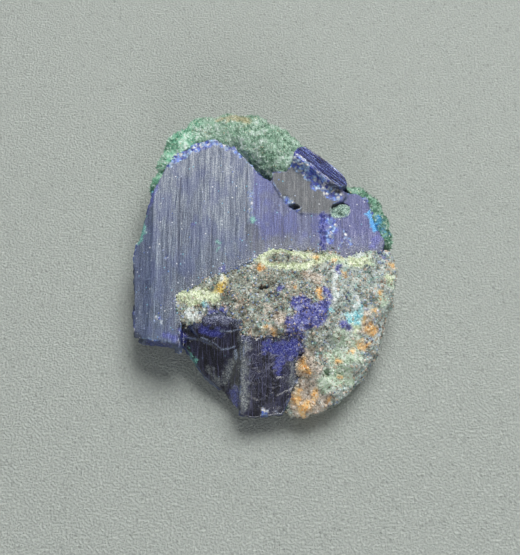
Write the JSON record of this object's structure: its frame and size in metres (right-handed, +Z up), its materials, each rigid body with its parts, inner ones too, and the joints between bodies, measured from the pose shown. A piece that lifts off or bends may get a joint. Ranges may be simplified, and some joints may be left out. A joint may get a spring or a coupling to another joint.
{
  "type": "azurite specimen",
  "caption": "Small mineral specimen: a broad striated azurite plate with a fibrous malachite crust along its back and sandy, iron-stained matrix on its front corner.",
  "frame": {"origin": "on the resting surface, under the middle of the specimen's bounding box", "axes": "+Z up; +Y along the striations of the crystal plate, from the glassy front face to the malachite crust; +X to the right"},
  "size_m": [0.0262, 0.032, 0.0093],
  "materials": {
    "azurite": "vitreous deep blue crystal faces, striated and lightly frosted on top, glassy on the fresh breaks",
    "malachite": "silky, fibrous green crust",
    "matrix": "dull, sandy, stained with brown and orange iron oxide"
  },
  "bodies": {
    "root": {"azurite_crystals": "azurite", "malachite_crust": "malachite", "gossan_matrix": "matrix"}
  },
  "joints": []
}
